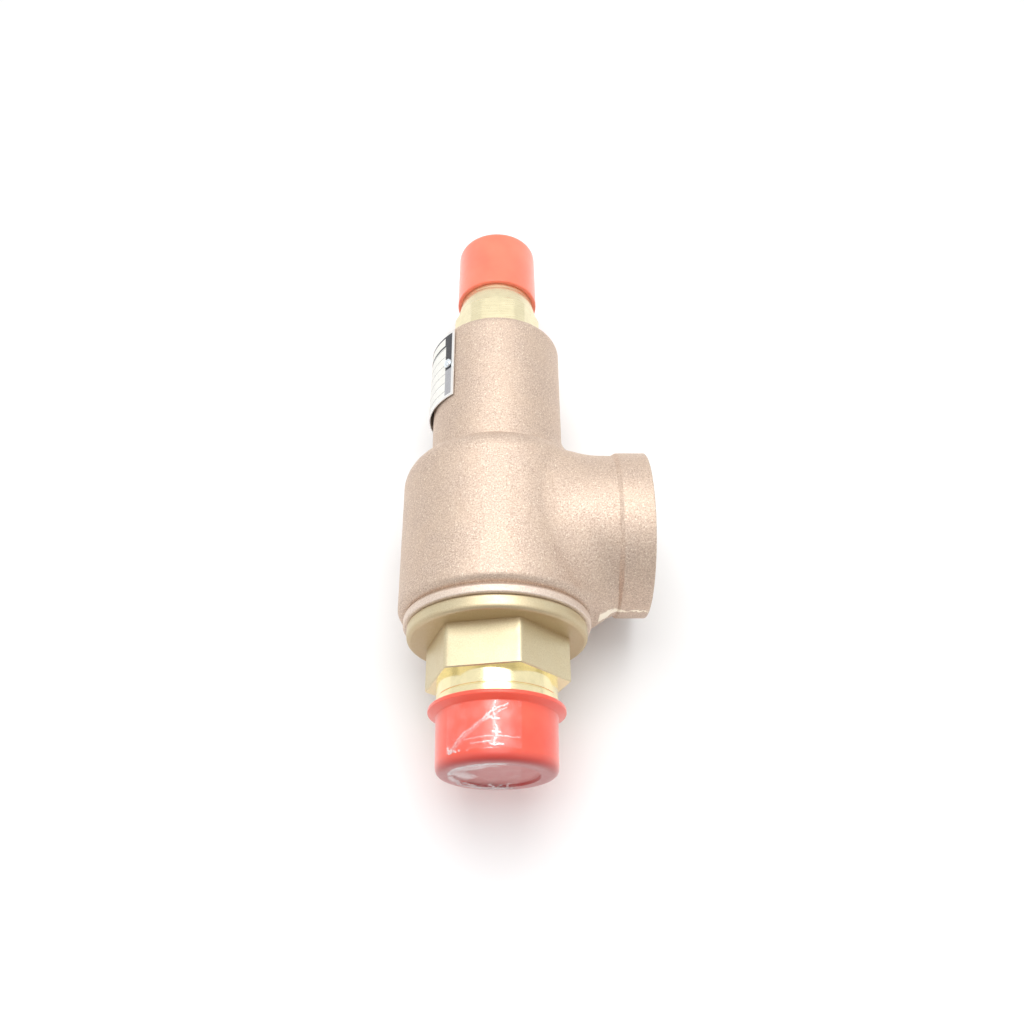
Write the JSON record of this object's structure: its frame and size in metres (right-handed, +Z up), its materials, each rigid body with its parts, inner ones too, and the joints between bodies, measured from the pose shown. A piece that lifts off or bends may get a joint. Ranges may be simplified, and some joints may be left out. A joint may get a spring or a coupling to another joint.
{
  "type": "pressure relief valve",
  "caption": "Angle pressure relief valve: cast bronze body with side outlet, brass nozzle with wrench hex, inner spring and disc, brass top cap and red thread protectors.",
  "frame": {"origin": "centre of the flat outer end of the covered inlet, on the valve's long axis", "axes": "+Y along the long axis from the inlet to the top cap, +X out of the side outlet, +Z up as the valve lies on its side"},
  "size_m": [0.1339, 0.3435, 0.1052],
  "materials": {
    "cast_bronze": "sand cast, blasted",
    "nozzle_brass": "machined and blasted",
    "cap_brass": "turned, satin",
    "inner_brass": "machined",
    "steel": "turned",
    "drive_screw_steel": "bright",
    "spring_steel": "shot peened",
    "nameplate": "satin with printed fields",
    "gasket": "matt",
    "seat_polymer": "smooth",
    "red_plastic": "moulded, soft sheen",
    "clear_film": "clear, creased"
  },
  "bodies": {
    "valve_body": {"body_casting": "cast_bronze", "inlet_nozzle": "nozzle_brass", "nozzle_gasket": "gasket", "disc_guide": "inner_brass", "main_spring": "spring_steel", "nameplate": "nameplate", "drive_screw_upper": "drive_screw_steel", "drive_screw_lower": "drive_screw_steel"},
    "regulator_ring": {"regulator_ring": "inner_brass"},
    "ring_lock_screw": {"ring_lock_screw": "steel"},
    "disc_stack": {"disc_holder": "inner_brass", "seat_disc": "seat_polymer", "disc_retainer": "steel", "disc_retainer_screw": "steel", "spindle": "steel", "lower_spring_step": "steel"},
    "upper_spring_step": {"upper_spring_step": "steel"},
    "adjusting_screw": {"adjusting_screw": "inner_brass"},
    "adjusting_lock_nut": {"adjusting_lock_nut": "inner_brass"},
    "cap_gasket": {"cap_gasket": "gasket"},
    "top_cap": {"top_cap": "cap_brass"},
    "top_protector": {"top_protector": "red_plastic"},
    "inlet_protector": {"inlet_protector": "red_plastic", "cap_tape": "clear_film"}
  },
  "joints": [
    {"name": "disc_lift", "type": "slide", "parent": "valve_body", "child": "disc_stack", "axis": [0, 1, 0], "range_m": [0, 0.008], "stiffness_N_per_m": 20000, "springref_m": -0.002, "deforming": ["main_spring"]},
    {"name": "regulator_ring_turn", "type": "hinge", "parent": "valve_body", "child": "regulator_ring", "pos_m": [0, 0.1067, 0], "axis": [0, 1, 0], "range_deg": [-180, 180]},
    {"name": "ring_lock_screw_out", "type": "slide", "parent": "valve_body", "child": "ring_lock_screw", "axis": [-0.7071, 0, -0.7071], "range_m": [0, 0.01]},
    {"name": "spring_step_travel", "type": "slide", "parent": "valve_body", "child": "upper_spring_step", "axis": [0, -1, 0], "range_m": [-0.0021, 0.0051]},
    {"name": "adjusting_screw_turn", "type": "hinge", "parent": "upper_spring_step", "child": "adjusting_screw", "pos_m": [0, 0.27, 0], "axis": [0, -1, 0], "range_deg": [-360, 900]},
    {"name": "lock_nut_turn", "type": "hinge", "parent": "valve_body", "child": "adjusting_lock_nut", "pos_m": [0, 0.2768, 0], "axis": [0, 1, 0], "range_deg": [0, 180]},
    {"name": "top_cap_rise", "type": "slide", "parent": "valve_body", "child": "cap_gasket", "axis": [0, 1, 0], "range_m": [0, 0.0101]},
    {"name": "top_cap_turn", "type": "hinge", "parent": "cap_gasket", "child": "top_cap", "pos_m": [0, 0.3, 0], "axis": [0, 1, 0], "range_deg": [0, 1800]},
    {"name": "top_protector_pull", "type": "slide", "parent": "top_cap", "child": "top_protector", "axis": [0, 1, 0], "range_m": [0, 0.045]},
    {"name": "inlet_protector_pull", "type": "slide", "parent": "valve_body", "child": "inlet_protector", "axis": [0, -1, 0], "range_m": [0, 0.04]}
  ],
  "couplings": [
    {"joint": "spring_step_travel", "follows": "adjusting_screw_turn", "m_per_rad": 0.00031831},
    {"joint": "top_cap_rise", "follows": "top_cap_turn", "m_per_rad": 0.00031831}
  ]
}
